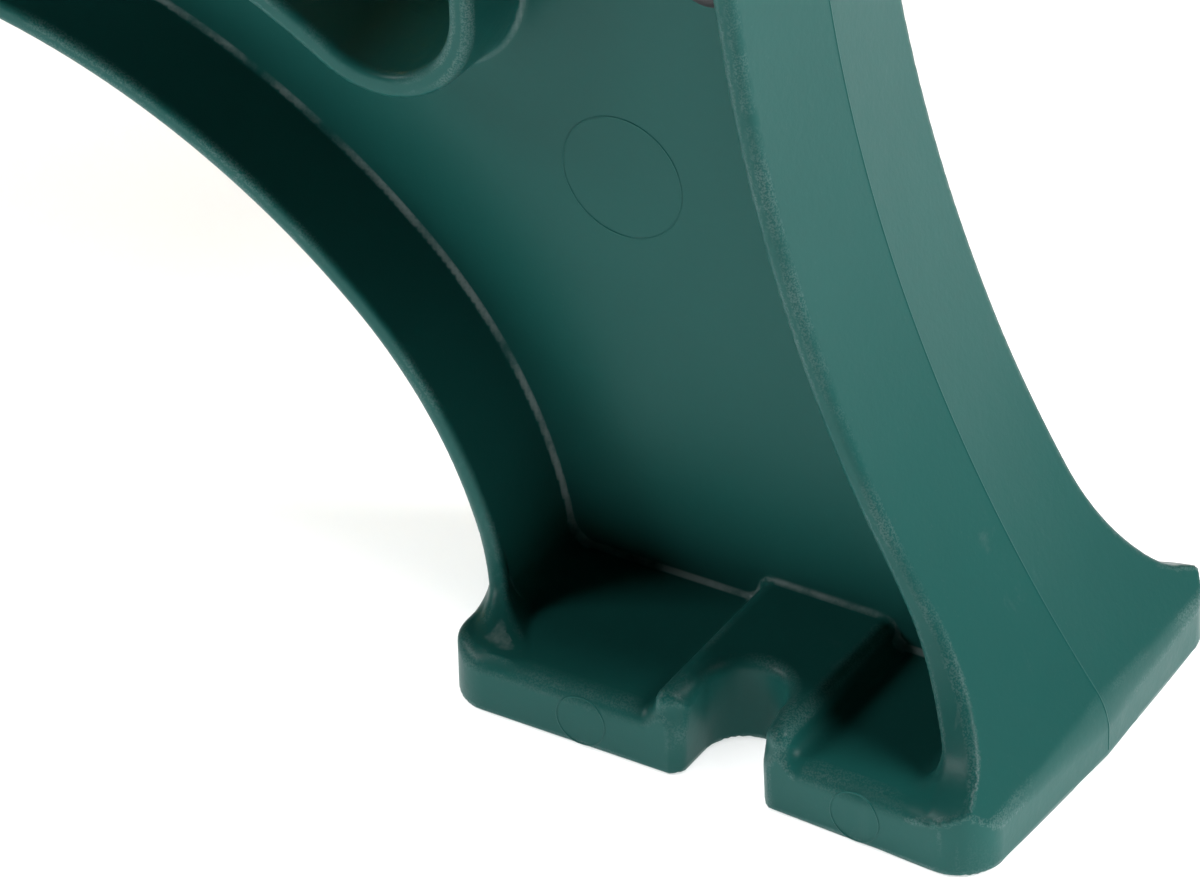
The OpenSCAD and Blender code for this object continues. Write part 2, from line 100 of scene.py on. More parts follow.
# ---------------------------------------------------------------- materials
class Nodes:
    """Short calls for building a node material."""

    def __init__(self, name):
        self.mat = bpy.data.materials.new(name)
        self.mat.use_nodes = True
        self.t = self.mat.node_tree
        self.bsdf = self.t.nodes["Principled BSDF"]
        self.co = self.t.nodes.new("ShaderNodeTexCoord").outputs["Object"]

    def link(self, a, b):
        self.t.links.new(a, b)

    def put(self, sock, v):
        if isinstance(v, bpy.types.NodeSocket):
            self.link(v, sock)
        else:
            sock.default_value = v

    def noise(self, scale, detail=4.0, rough=0.55, stretch=None, dist=0.0):
        n = self.t.nodes.new("ShaderNodeTexNoise")
        n.inputs["Scale"].default_value = scale
        n.inputs["Detail"].default_value = detail
        n.inputs["Roughness"].default_value = rough
        n.inputs["Distortion"].default_value = dist
        self.link(self.mapped(stretch) if stretch else self.co, n.inputs["Vector"])
        return n.outputs["Fac"]

    def mapped(self, scale):
        n = self.t.nodes.new("ShaderNodeMapping")
        n.inputs["Scale"].default_value = scale
        self.link(self.co, n.inputs["Vector"])
        return n.outputs["Vector"]

    def voronoi(self, scale, feature="F1"):
        n = self.t.nodes.new("ShaderNodeTexVoronoi")
        n.feature = feature
        n.inputs["Scale"].default_value = scale
        self.link(self.co, n.inputs["Vector"])
        return n.outputs["Distance"]

    def math(self, op, a, b=0.0):
        n = self.t.nodes.new("ShaderNodeMath")
        n.operation = op
        self.put(n.inputs[0], a)
        self.put(n.inputs[1], b)
        return n.outputs[0]

    def times(self, a, b):
        return self.math("MULTIPLY", a, b)

    def plus(self, a, b):
        return self.math("ADD", a, b)

    def ramp(self, v, a, b, lo=0.0, hi=1.0):
        """Runs smoothly from lo to hi while v goes from a to b."""
        n = self.t.nodes.new("ShaderNodeMapRange")
        n.interpolation_type = "SMOOTHSTEP"
        for k, x in zip(("From Min", "From Max", "To Min", "To Max"), (a, b, lo, hi)):
            n.inputs[k].default_value = x
        self.link(v, n.inputs["Value"])
        return n.outputs["Result"]

    def mix(self, f, a, b):
        n = self.t.nodes.new("ShaderNodeMix")
        n.data_type = "RGBA"
        self.put(n.inputs[0], f)
        self.put(n.inputs[6], a)
        self.put(n.inputs[7], b)
        return n.outputs[2]

    def attr(self, name):
        n = self.t.nodes.new("ShaderNodeAttribute")
        n.attribute_name = name
        return n.outputs["Fac"]

    def bump(self, height, distance, strength=1.0, chain=None):
        n = self.t.nodes.new("ShaderNodeBump")
        n.inputs["Distance"].default_value = distance
        n.inputs["Strength"].default_value = strength
        self.link(height, n.inputs["Height"])
        if chain is not None:
            self.link(chain, n.inputs["Normal"])
        return n.outputs["Normal"]


def rgba(c):
    return (c[0], c[1], c[2], 1.0)


def plastic(name, color, rough=0.36, grain=0.00006, whitening_glint_attr=None, scuffs=1.0, gloss=0.25):
    """Moulded polyethylene: orange peel, slow colour drift, fine scuffs, and pale edges that are partly
    stress-whitening and partly painted highlight.
    """
    n = Nodes(name)
    base = np.array(color)
    drift = n.ramp(n.noise(7.0, 3.0), 0.3, 0.7)
    col = n.mix(drift, rgba(base * 0.96), rgba(base * 1.04))
    speck = n.ramp(n.noise(900.0, 2.0), 0.66, 0.78)
    col = n.mix(n.times(speck, 0.08), col, rgba(base * 0.6 + 0.12))
    lines = n.ramp(n.noise(60.0, 6.0, 0.7, (1.0, 1.0, 0.06), 0.4), 0.60, 0.74)
    scratch = n.times(lines, n.ramp(n.noise(9.0, 2.0), 0.50, 0.72))
    col = n.mix(n.times(scratch, 0.12 * scuffs), col, rgba(base * 0.5 + 0.22))
    r = n.plus(n.times(n.noise(140.0, 4.0), 0.12), rough - 0.06)
    r = n.plus(r, n.times(scratch, 0.15 * scuffs))
    # pale edge colour: partly stress-whitening, partly painted highlight
    if whitening_glint_attr:
        col = whiten_and_glint(n, col, base, n.attr(whitening_glint_attr))
    n.link(col, n.bsdf.inputs["Base Color"])
    n.link(r, n.bsdf.inputs["Roughness"])
    n.bsdf.inputs["Specular IOR Level"].default_value = gloss
    peel = n.bump(n.noise(420.0, 3.0, 0.6), grain, 1.0)
    wavy = n.bump(n.noise(30.0, 2.0), 0.0004, 0.5, peel)
    n.link(wavy, n.bsdf.inputs["Normal"])
    return n


def whiten_and_glint(n, col, base, bend):
    """Pale grain on convex edges, partly stress-whitening and partly painted highlight, and painted
    highlight lines in concave corners; bend runs from -1 to 1.
    """
    glint_grain = n.ramp(n.noise(1700.0, 2.0, 0.6), 0.40, 0.62)
    patch = n.ramp(n.noise(26.0, 5.0, 0.65), 0.40, 0.62)
    # convex edges: pale grain, partly stress-whitening and partly painted highlight
    edge = n.times(n.ramp(bend, 0.15, 0.50), n.times(glint_grain, patch))
    # concave corners and fillets: painted highlight lines
    crease_glint = n.ramp(n.times(bend, -1.0), 0.62, 0.98)
    crease_glint = n.times(crease_glint, n.ramp(n.noise(45.0, 5.0, 0.65), 0.30, 0.62))
    col = n.mix(n.times(edge, 0.16), col, rgba(base * 0.8 + 0.32))
    return n.mix(n.times(crease_glint, 0.50), col, rgba(base * 0.8 + 0.36))


def pebble(name, color):
    """Anti-slip moulded top with a pebbled grain."""
    n = plastic(name, color, 0.46)
    cells = n.voronoi(520.0, "SMOOTH_F1")
    b = n.bump(n.ramp(cells, 0.1, 0.7, 1.0, 0.0), 0.0003, 0.8)
    n.link(b, n.bsdf.inputs["Normal"])
    return n


def metal(name, color, rough, spangle=False):
    """Metal with drawn lines, or with the crystals of a zinc coat."""
    n = Nodes(name)
    base = np.array(color)
    v = n.voronoi(160.0) if spangle else n.noise(200.0, 5.0, 0.6, (1.0, 0.02, 1.0))
    col = n.mix(n.ramp(v, 0.1, 0.8), rgba(base * 0.85), rgba(base * 1.08))
    n.link(col, n.bsdf.inputs["Base Color"])
    n.bsdf.inputs["Metallic"].default_value = 1.0
    uneven = n.ramp(n.noise(45.0, 5.0), 0.3, 0.7, rough - 0.07, rough + 0.09)
    n.link(uneven, n.bsdf.inputs["Roughness"])
    n.link(n.bump(n.noise(600.0, 4.0, 0.6, (1.0, 0.05, 1.0)), 0.00003), n.bsdf.inputs["Normal"])
    return n


def powder(name, color):
    """Powder coat: a clear top on a slightly uneven colour."""
    n = Nodes(name)
    base = np.array(color)
    drift = n.ramp(n.noise(12.0, 4.0), 0.3, 0.7)
    n.link(n.mix(drift, rgba(base * 0.92), rgba(base * 1.08)), n.bsdf.inputs["Base Color"])
    n.link(n.ramp(n.noise(30.0, 4.0), 0.3, 0.7, 0.30, 0.42), n.bsdf.inputs["Roughness"])
    n.bsdf.inputs["Coat Weight"].default_value = 0.25
    n.bsdf.inputs["Coat Roughness"].default_value = 0.22
    n.link(n.bump(n.noise(900.0, 2.0), 0.00008), n.bsdf.inputs["Normal"])
    return n


def rubber(name):
    """Black rubber with a grey bloom."""
    n = Nodes(name)
    bloom = n.ramp(n.noise(60.0, 5.0), 0.35, 0.7)
    black = (0.018, 0.018, 0.019, 1)
    grey = (0.045, 0.045, 0.044, 1)
    n.link(n.mix(bloom, black, grey), n.bsdf.inputs["Base Color"])
    n.link(n.ramp(n.noise(80.0, 4.0), 0.3, 0.7, 0.62, 0.82), n.bsdf.inputs["Roughness"])
    n.link(n.bump(n.noise(1500.0, 3.0), 0.00015), n.bsdf.inputs["Normal"])
    return n


GREEN = (0.010, 0.088, 0.078)
YELLOW = (0.72, 0.42, 0.035)
BEIGE = (0.50, 0.41, 0.27)

# frames and chute take the pale edge colour: partly stress-whitening, partly painted highlight
green = plastic("green_plastic", GREEN, 0.36, whitening_glint_attr="edge", gloss=0.12).mat
green_plain = plastic("green_plastic_plain", GREEN, 0.36, gloss=0.12).mat
yellow = plastic("yellow_plastic", YELLOW, 0.30, 0.00004, whitening_glint_attr="edge", scuffs=1.6).mat
beige = pebble("beige_plastic", BEIGE).mat
blue = powder("rail_paint", (0.035, 0.095, 0.26)).mat
zinc = metal("zinc", (0.62, 0.63, 0.64), 0.36, True).mat
steel = metal("steel", (0.60, 0.60, 0.60), 0.26).mat
black_rubber = rubber("black_rubber").mat
black_plastic = plastic("black_plastic", (0.022, 0.022, 0.024), 0.42).mat

# ---------------------------------------------------------------- side frame as a distance field
# Sizes in mm and degrees, about the middle of the frame's length and thickness.
# outline: a leaning flank that flares out to the foot
HALF_BASE, HEIGHT, LEAN = 400.0, 1000.0, 8.7
FLARE_R, FLARE_TOP, BASE_Z = 470.0, 230.0, 16.4
TOP_CORNER = 60.0
# arch between the feet: two haunches and a crown
ARCH_HALF, ARCH_RISE, HAUNCH = 217.0, 175.0, 70.0
# treads, windows, rails and stake notches
STEP = 254.0
WIN_HALF, WIN_TOP, WIN_R, BAND = 210.5, 440.0, 34.0, 51.5
RAIL_HALF = 142.0
NOTCH_X, NOTCH_R, NOTCH_DEPTH = HALF_BASE - 90, 13.0, 15.0
# moulding
FLANGE_HALF, FLANGE_WALL, WEB_HALF = 42.0, 7.2, 5.5
FOOT_INNER, FOOT_HALF, FOOT_Z = 215.0, 70.0, 20.0
PAD_HALF, PAD_Z = 22.5, 28.5
RIM_WALL, RIM_HALF = 8.0, 32.0
EDGE_R, DRAFT = 2.7, 0.045
SOCKET_R, BOSS_R, BOSS_Z, SOCKET_Z = 12.9, 20.5, 920.0, 925.0

flare_end = math.degrees(math.asin(sind(LEAN) + (FLARE_TOP - BASE_Z) / FLARE_R))
FLARE_X = HALF_BASE + 0.2 - FLARE_R * (cosd(LEAN) - cosd(flare_end))


def lean_x(z):
    """Half length of the frame at height z, above the flare."""
    return FLARE_X - (z - FLARE_TOP) * tand(LEAN)


CORNER_Z = HEIGHT - TOP_CORNER
CORNER_X = lean_x(CORNER_Z) - TOP_CORNER / cosd(LEAN)
HAUNCH_R = ARCH_HALF - HAUNCH
CROWN_DEPTH = (HAUNCH**2 - (HAUNCH_R - ARCH_RISE) ** 2) / (2 * (ARCH_RISE - HAUNCH_R))
CROWN_R = ARCH_RISE + CROWN_DEPTH
WINDOW_R = CROWN_R + BAND
# half width at the bottom, lower edge and upper edge of the two upper windows
MID_LOW = STEP * 2 - 20
MID_WINDOW = (lean_x(MID_LOW) - 130, MID_LOW, STEP * 3 - 72)
TOP_WINDOW = (RAIL_HALF - 36, STEP * 3 + 40, HEIGHT - 68)


def round_and(a, b, r):
    """Overlap of two spaces, with edges rounded to r."""
    return np.minimum(-r, np.maximum(a, b)) + np.hypot(np.maximum(r + a, 0), np.maximum(r + b, 0))


def round_or(a, b, r):
    """Two spaces joined, with a fillet of r between them."""
    return np.maximum(r, np.minimum(a, b)) - np.hypot(np.maximum(r - a, 0), np.maximum(r - b, 0))


def smooth(t):
    t = np.clip(t, 0, 1)
    return t * t * (3 - 2 * t)


def blend(a, b, t):
    """Goes straight from a to b while t goes from 0 to 1."""
    return a + (b - a) * np.clip(t, 0, 1)


def widen(z, top, r):
    """Half width of a flange that flares below top along a circle of radius r."""
    q = np.clip(top - z, 0, r)
    return FLANGE_HALF + r - np.sqrt(r * r - q * q)


def outline_d(x, z):
    """Outline of the frame from the side, without the arch."""
    u, v = x - FLARE_X, z - FLARE_TOP
    line = u * cosd(LEAN) + v * sind(LEAN)
    circ = FLARE_R - np.hypot(u - FLARE_R * cosd(LEAN), v - FLARE_R * sind(LEAN))
    side = np.where(v * cosd(LEAN) - u * sind(LEAN) > 0, line, circ)
    side = round_and(side, x - HALF_BASE, 4.0)
    uc, vc = x - CORNER_X, z - CORNER_Z
    sector = (vc * cosd(LEAN) - uc * sind(LEAN) > 0) & (uc > 0)
    return np.where(sector, np.hypot(uc, vc) - TOP_CORNER, np.maximum(side, z - HEIGHT))


def arch_d(x, z):
    """The arch between the feet; negative inside the opening."""
    haunch = np.where(z < 0, x - ARCH_HALF, np.hypot(x - HAUNCH, z) - HAUNCH_R)
    crown = np.hypot(x, z + CROWN_DEPTH) - CROWN_R
    return np.where(x * CROWN_DEPTH - (z + CROWN_DEPTH) * HAUNCH > 0, haunch, crown)


def window_d(x, z):
    """Lower window, whose lower edge follows the arch."""
    r = WIN_R
    cx = WIN_HALF - r
    cz = -CROWN_DEPTH + math.sqrt((WINDOW_R + r) ** 2 - cx * cx)
    a = math.atan2(cz + CROWN_DEPTH, cx)
    d = np.maximum(np.maximum(x - WIN_HALF, z - WIN_TOP), WINDOW_R - np.hypot(x, z + CROWN_DEPTH))
    u, v = x - cx, z - cz
    d = np.where((v < 0) & (-math.cos(a) * v + math.sin(a) * u > 0), np.hypot(u, v) - r, d)
    v = z - (WIN_TOP - r)
    return np.where((v > 0) & (u > 0), np.hypot(u, v) - r, d)


def slot_d(x, z, half, low, high):
    """Upper window with sides that lean as the flanks do."""
    r = WIN_R
    h = high - low - 2 * r
    u, v = x - (half - r), z - (low + r)
    d = np.maximum(np.maximum(u * cosd(LEAN) + v * sind(LEAN) - r, low - z), z - high)
    d = np.where((u > 0) & (u * sind(LEAN) - v * cosd(LEAN) > 0), np.hypot(u, v) - r, d)
    u, v = u + h * tand(LEAN), v - h
    return np.where((u > 0) & (cosd(LEAN) * v - sind(LEAN) * u > 0), np.hypot(u, v) - r, d)


def flange_d(x, y, z, s):
    """Walls along the outline and the arch, wider towards the foot; s is the depth inside."""
    arch = arch_d(x - 0.58 * np.maximum(y - 40, 0), z)
    arch = arch - DRAFT * (np.minimum(y, FLANGE_HALF) - FLANGE_HALF)
    wall = FLANGE_WALL + 0.035 * np.maximum(FLANGE_HALF - y, 0)
    wall = wall + np.where(x > NOTCH_X, 5.0 * (1 - smooth((z - 22) / 60)), 0)
    walls = np.maximum(np.maximum(-s, -arch), np.minimum(s, arch) - wall)
    flared = blend(widen(z, 66, 50), widen(z, 64, 58), s / 12)
    half = np.where(x > NOTCH_X, np.minimum(flared, FOOT_HALF), widen(z, 40, 20))
    return round_and(walls, y - half, EDGE_R)


def holes_d(x, z):
    """All three windows."""
    lower = np.minimum(window_d(x, z), slot_d(x, z, *MID_WINDOW))
    return np.minimum(lower, slot_d(x, z, *TOP_WINDOW))


def web_d(x, y, z, s, holes):
    """Flat plate between the flanges, open in the windows; it ends inside flanges and rims."""
    arch = arch_d(x, z) - DRAFT * (y - FLANGE_HALF)
    region = np.maximum(-s, -arch)
    return np.maximum(np.maximum(region + 4.5, y - WEB_HALF), -(holes + RIM_WALL / 2))


def rim_d(y, holes):
    """Raised rim around each window, thinner towards its edge."""
    draft = 0.03 * (RIM_HALF - y)
    wall = np.maximum(holes - draft, -(holes + RIM_WALL) - draft)
    return round_and(wall, y - RIM_HALF, EDGE_R)


def foot_d(x, y, z):
    """Foot plate with its raised pad and open stake notch, and the plate's outline from above."""
    wide = FOOT_HALF + 4.0 * np.clip((x - 320) / 80, 0, 1) ** 1.4 - 0.01 * z
    ends = np.maximum(FOOT_INNER - x, x - (HALF_BASE - 0.04 * y))
    plan = round_and(ends, y - wide, 15.0)
    at_end = smooth((ends - y + wide + 8) / 16)
    plate = round_and(plan, z - FOOT_Z, blend(6.5, 2.5, at_end))
    pad = np.abs(x - NOTCH_X) - PAD_HALF + 0.03 * (z - FOOT_Z)
    pad = round_and(round_and(pad, y - wide, 4.0), z - PAD_Z, 4.5)
    foot = round_or(plate, pad, 4.5)
    # the notch: straight sides, and a round end at NOTCH_DEPTH from the plate's side
    end_y = FOOT_HALF - NOTCH_DEPTH
    notch = np.where(y > end_y, np.abs(x - NOTCH_X), np.hypot(x - NOTCH_X, y - end_y))
    notch = notch - NOTCH_R + 0.02 * (z - 14)
    return round_and(foot, -notch, 4.5 + 4.5 * smooth((y - 56) / 12)), plan


def frame_d(px, py, pz):
    """Signed distance to the moulded side frame, in mm about its own middle plane."""
    x, y, z = np.abs(px), np.abs(py), pz
    low = 1 - smooth((z - 20) / 90)
    s = -(outline_d(x, z) + (0.085 - DRAFT * low) * y)
    holes = holes_d(x, z)
    foot, plan = foot_d(x, y, z)
    body = round_or(flange_d(x, y, z, s), foot, np.where(x > NOTCH_X, 10.0, 7.0))
    body = round_or(body, web_d(x, y, z, s, holes), 2.4)
    body = round_or(body, rim_d(y, holes), 2.8)
    body = np.maximum(body, np.where(z < 24, plan, -50))
    # sockets for the handrails
    c = np.hypot(x - RAIL_HALF, y)
    boss = round_and(c - BOSS_R, BOSS_Z - z, 5.0)
    body = round_or(body, np.maximum(boss, z - HEIGHT), 4.0)
    body = np.maximum(body, np.where(z > SOCKET_Z, SOCKET_R - c, -50))
    # nothing stands out of the outline, and the top and the bottom have small roundings
    body = np.maximum(body, -s)
    body = round_and(body, z - HEIGHT, 2.5)
    return round_and(body, -z, 1.6)


# ---------------------------------------------------------------- mesh of a distance field
def gradient(fn, p, e=0.12):
    x, y, z = p.T
    gx = fn(x + e, y, z) - fn(x - e, y, z)
    gy = fn(x, y + e, z) - fn(x, y - e, z)
    gz = fn(x, y, z + e) - fn(x, y, z - e)
    return np.stack([gx, gy, gz], 1) / (2 * e)


def snap(fn, p, reach, rounds):
    """Moves points onto the surface where fn is 0."""
    for _ in range(rounds):
        g = gradient(fn, p)
        step = fn(*p.T) / np.maximum((g**2).sum(1), 0.3)
        p = p - np.clip(step, -reach, reach)[:, None] * g
    return p


def points_of(me):
    p = np.empty(len(me.vertices) * 3)
    me.vertices.foreach_get("co", p)
    return p.reshape(-1, 3) / MM


def sampled(fn, size, h):
    """Samples fn, which is symmetric in x and y, every h mm; size is (x, y, lowest z, highest z)."""
    x1, y1, z0, z1 = size
    ax = np.arange(h / 2, x1 + h, h, dtype=np.float32)
    ay = np.arange(h / 2, y1 + h, h, dtype=np.float32)
    az = np.arange(z0, z1 + h, h, dtype=np.float32)
    arr = np.empty((len(ax), len(ay), len(az)), np.float32)
    for i in range(0, len(ax), 32):
        arr[i:i + 32] = fn(*np.meshgrid(ax[i:i + 32], ay, az, indexing="ij"))
    arr = np.clip(arr, -2.5 * h, 2.5 * h)
    arr = np.concatenate([arr[::-1], arr], axis=0)
    return np.concatenate([arr[:, ::-1], arr], axis=1)


def surface(fn, size, h):
    """Points in mm and quads where fn is 0."""
    arr = sampled(fn, size, h)
    grid = openvdb.FloatGrid(2.5 * h)
    corner = (-(arr.shape[0] // 2), -(arr.shape[1] // 2), 0)
    grid.copyFromArray(np.ascontiguousarray(arr), ijk=corner, tolerance=1e-4)
    points, _, quads = grid.convertToPolygons(0.0, 0.0)
    p = points.astype(np.float64)
    p[:, :2] += 0.5
    p *= h
    p[:, 2] += size[2]
    a, b, c = (p[quads[::97, k]] for k in range(3))
    if (np.cross(b - a, c - a) * gradient(fn, a)).sum() < 0:
        quads = quads[:, ::-1]
    return p, quads


def thinned(name, p, quads, faces):
    """Mesh of the quads with flat stretches thinned out, to about the given number of faces."""
    raw = bpy.data.meshes.new(name + "_raw")
    raw.from_pydata(p * MM, [], quads.astype(np.int64))
    raw.update()
    ob = bpy.data.objects.new(name + "_raw", raw)
    bpy.context.collection.objects.link(ob)
    thin = ob.modifiers.new("thin", "DECIMATE")
    thin.ratio = min(1.0, faces / (2 * len(quads)))
    dg = bpy.context.evaluated_depsgraph_get()
    me = bpy.data.meshes.new_from_object(ob.evaluated_get(dg))
    me.name = name
    bpy.data.objects.remove(ob)
    bpy.data.meshes.remove(raw)
    return me


def cut_middle(me):
    """Puts an edge all along the parting line, so that the crease there is crisp."""
    bm = bmesh.new()
    bm.from_mesh(me)
    bmesh.ops.bisect_plane(bm, geom=bm.verts[:] + bm.edges[:] + bm.faces[:], dist=1e-6,
                           plane_co=(0, 0, 0), plane_no=(0, 1, 0))
    bmesh.ops.triangulate(bm, faces=[f for f in bm.faces if len(f.verts) > 4])
    bm.to_mesh(me)
    bm.free()


def corner_normals(me, fn, p, middle):
    """Normals from the field itself; a corner on the parting line takes its own side's."""
    corners = np.empty(len(me.loops), np.int64)
    me.loops.foreach_get("vertex_index", corners)
    sizes = np.empty(len(me.polygons), np.int64)
    me.polygons.foreach_get("loop_total", sizes)
    face = np.repeat(np.arange(len(sizes)), sizes)
    side = np.sign(np.bincount(face, p[corners, 1], len(sizes)))[face]
    q = p[corners]
    q[:, 1] += np.where(middle[corners], 0.3 * side, 0)
    n = gradient(fn, q)
    return n / np.maximum(np.linalg.norm(n, axis=1, keepdims=True), 1e-6)


def bend_of(fn, p, reach=1.6, gain=2.2):
    """How convex, or below 0 concave, the surface is within reach; it drives the pale edges, partly
    whitening and partly painted highlight, and the painted highlight lines.
    """
    curve = -6 * fn(*p.T)
    for k in range(3):
        for step in (-reach, reach):
            q = p.copy()
            q[:, k] += step
            curve += fn(*q.T)
    return np.clip(curve / reach**2 * gain, -1, 1).astype(np.float32)


def field_mesh(name, fn, size, h, faces):
    """Meshes the space where fn is negative."""
    p, quads = surface(fn, size, h)
    me = thinned(name, p, quads, faces)
    cut_middle(me)
    p = points_of(me)
    middle = np.abs(p[:, 1]) < 0.01
    p = snap(fn, p, h, 3)
    p[middle, 1] = 0
    me.vertices.foreach_set("co", (p * MM).ravel())
    me.update()
    me.attributes.new("edge", "FLOAT", "POINT")
    me.attributes["edge"].data.foreach_set("value", bend_of(fn, p))
    me.shade_smooth()
    me.normals_split_custom_set(corner_normals(me, fn, p, middle).tolist())
    return me


def finished(name, bm, sharp=None):
    """Smooth-shaded mesh of bm, with edges over the sharp angle kept crisp."""
    me = bpy.data.meshes.new(name)
    bm.to_mesh(me)
    bm.free()
    me.shade_smooth()
    if sharp is not None:
        me.set_sharp_from_angle(angle=math.radians(sharp))
    return me


def add(name, me, mat, node=None, loc=None):
    """Puts a mesh in the scene as part of the body, in place of a CAD node where one is given."""
    ob = bpy.data.objects.new(name, me)
    bpy.context.collection.objects.link(ob)
    if mat is not None:
        me.materials.clear()
        me.materials.append(mat)
    if loc is not None:
        ob.location = loc
    bpy.context.view_layer.update()
    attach(ob, "root")
    if node:
        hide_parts(*([node] if isinstance(node, str) else node))
    return ob


cell = 1.6
reach = (HALF_BASE + 4, FOOT_HALF + 8, -3 * cell, HEIGHT + 4)
side = field_mesh("side_frame", frame_d, reach, cell, 190000)
SIDES = {"near": (X0 * MM, -FRAME_Y * MM, 0), "far": (X0 * MM, FRAME_Y * MM, 0)}
frames = {}
for side_name, place in SIDES.items():
    node = "side_frame_" + side_name
    frames[side_name] = add(node + "_v", side, green, node, place)


# ---------------------------------------------------------------- plug marks and parting line
def parting_paths():
    """Rough routes in the frame's middle plane, which snap() then moves onto the moulding."""
    cx, cz = FLARE_X + FLARE_R * cosd(LEAN), FLARE_TOP + FLARE_R * sind(LEAN)
    outer = [(HALF_BASE, z) for z in np.arange(3.0, 13.0, 1.0)]
    turn = np.linspace(-flare_end, -LEAN, 90)
    outer += [(cx - FLARE_R * cosd(a), cz + FLARE_R * sind(a)) for a in turn]
    outer += [(lean_x(z), z) for z in np.arange(FLARE_TOP + 5, CORNER_Z - 5, 12.0)]
    turn = np.linspace(LEAN, 90, 24)
    outer += [(CORNER_X + TOP_CORNER * cosd(a), CORNER_Z + TOP_CORNER * sind(a)) for a in turn]
    outer += [(x, HEIGHT) for x in np.arange(CORNER_X - 4, RAIL_HALF + 26, -6.0)]
    bridge = [(x, HEIGHT) for x in np.linspace(RAIL_HALF - 26, 26 - RAIL_HALF, 40)]
    lap = math.degrees(math.atan2(CROWN_DEPTH, HAUNCH))
    arch = [(HAUNCH + HAUNCH_R * cosd(a), HAUNCH_R * sind(a)) for a in np.linspace(10, lap, 50)]
    arch += [(CROWN_R * cosd(a), CROWN_R * sind(a) - CROWN_DEPTH) for a in np.linspace(lap, 90, 20)[1:]]
    arch += [(-x, z) for x, z in reversed(arch[:-1])]
    mirrored = [(-x, z) for x, z in outer]
    return [[(x, 0, z) for x, z in path] for path in (outer, mirrored, bridge, arch)]


# middle (x, z), radius and distance from the middle plane of the marks at one end of a frame
PLUG_MARKS = (
    (263.6, 9.2, 8.2, FOOT_HALF),
    (355.95, 9.2, 8.2, FOOT_HALF + 1),
    (243.2, 154.1, 19.9, WEB_HALF),
)


def mark_paths():
    """Outlines of the round plug marks on the feet and the web."""
    out = []
    turn = np.linspace(0, 360, 97)
    for sx in (-1, 1):
        for sy in (-1, 1):
            for cx, cz, r, y in PLUG_MARKS:
                out.append([(sx * (cx + r * cosd(a)), sy * y, cz + r * sind(a)) for a in turn])
    return out


def seam_mesh(name, paths, w, h):
    """Fine raised lines with a rounded section of half width w, laid on the moulding along paths."""
    section = ((-w, -0.5 * h), (-0.66 * w, 0.6 * h), (0, h), (0.66 * w, 0.6 * h), (w, -0.5 * h))
    bm = bmesh.new()
    for path in paths:
        p = snap(frame_d, np.array(path, float), 3.0, 5)
        g = gradient(frame_d, p)
        normals = g / np.linalg.norm(g, axis=1, keepdims=True)
        along = np.gradient(p, axis=0)
        closed = np.linalg.norm(p[0] - p[-1]) < 0.1
        if closed:
            along[0] = along[-1] = p[1] - p[-2]
        across = np.cross(normals, along)
        across /= np.linalg.norm(across, axis=1, keepdims=True)
        rows = []
        for q, n, c in zip(p, normals, across):
            rows.append([bm.verts.new((q + n * v + c * u) * MM) for u, v in section])
        for a, b in zip(rows, rows[1:]):
            for j in range(len(section) - 1):
                bm.faces.new((a[j], b[j], b[j + 1], a[j + 1]))
    bmesh.ops.recalc_face_normals(bm, faces=bm.faces)
    return finished(name, bm)


seams = {
    "parting_line": seam_mesh("parting_line", parting_paths(), 0.42, 0.20),
    "plug_marks": seam_mesh("plug_marks", mark_paths(), 0.36, 0.20),
}
for name, me in seams.items():
    for side_name, place in SIDES.items():
        add(f"{name}_{side_name}", me, green_plain, None, place)


# ---------------------------------------------------------------- chute
SLOPE, DECK_Z, EXIT_H, EXIT_L = 36.0, STEP * 3, 110.0, 230.0
DECK_FRONT, WALL_Y = 165.0, 199.0
TOP_BEND, LOW_BEND = 140.0, 320.0
ROLL_R, ROLL_TURN = 42.0, 62.0
RIBS = 7
ENTRY = -DECK_FRONT - 1

# the sliding face: flat entry to A, bend to B, straight to C, bend to D, flat run-out to E
A = (ENTRY - (lean_x(DECK_Z) - DECK_FRONT + 20), DECK_Z)
BENDS_DROP = (TOP_BEND + LOW_BEND) * (1 - cosd(SLOPE))
DROP = DECK_Z - EXIT_H - BENDS_DROP
B = (A[0] - TOP_BEND * sind(SLOPE), DECK_Z - TOP_BEND * (1 - cosd(SLOPE)))
C = (B[0] - DROP / tand(SLOPE), B[1] - DROP)
D = (C[0] - LOW_BEND * sind(SLOPE), EXIT_H)
E = (D[0] - EXIT_L, EXIT_H)


def stations():
    """(x, z, normal x, normal z, share of the wall's height) along the sliding face."""
    out = []
    for i in range(5):
        out.append((ENTRY + (A[0] - ENTRY) * i / 5, DECK_Z, 0, 1, 1))
    for i in range(25):
        a = -SLOPE * i / 24
        z = DECK_Z - TOP_BEND + TOP_BEND * cosd(a)
        out.append((A[0] + TOP_BEND * sind(a), z, sind(a), cosd(a), 1))
    for i in range(1, 40):
        t = i / 40
        out.append((B[0] + (C[0] - B[0]) * t, B[1] + (C[1] - B[1]) * t, -sind(SLOPE), cosd(SLOPE), 1))
    for i in range(33):
        a = 180 - SLOPE + SLOPE * i / 32
        z = EXIT_H + LOW_BEND + LOW_BEND * cosd(a)
        out.append((D[0] + LOW_BEND * sind(a), z, -sind(a), -cosd(a), 1))
    for i in range(1, 10):
        out.append((D[0] - EXIT_L * i / 10, EXIT_H, 0, 1, 1))
    for i in range(21):
        a = -ROLL_TURN * i / 20
        share = 1 - 0.8 * (i / 20) ** 1.5
        z = EXIT_H - ROLL_R + ROLL_R * cosd(a)
        out.append((E[0] + ROLL_R * sind(a), z, sind(a), cosd(a), share))
    return out


def arc(cy, co, r, a0, a1, n):
    """Points of a round stretch in the chute's section, from angle a0 to a1."""
    turn = [a0 + (a1 - a0) * i / n for i in range(n + 1)]
    return [(cy + r * cosd(a), co + r * sind(a)) for a in turn]


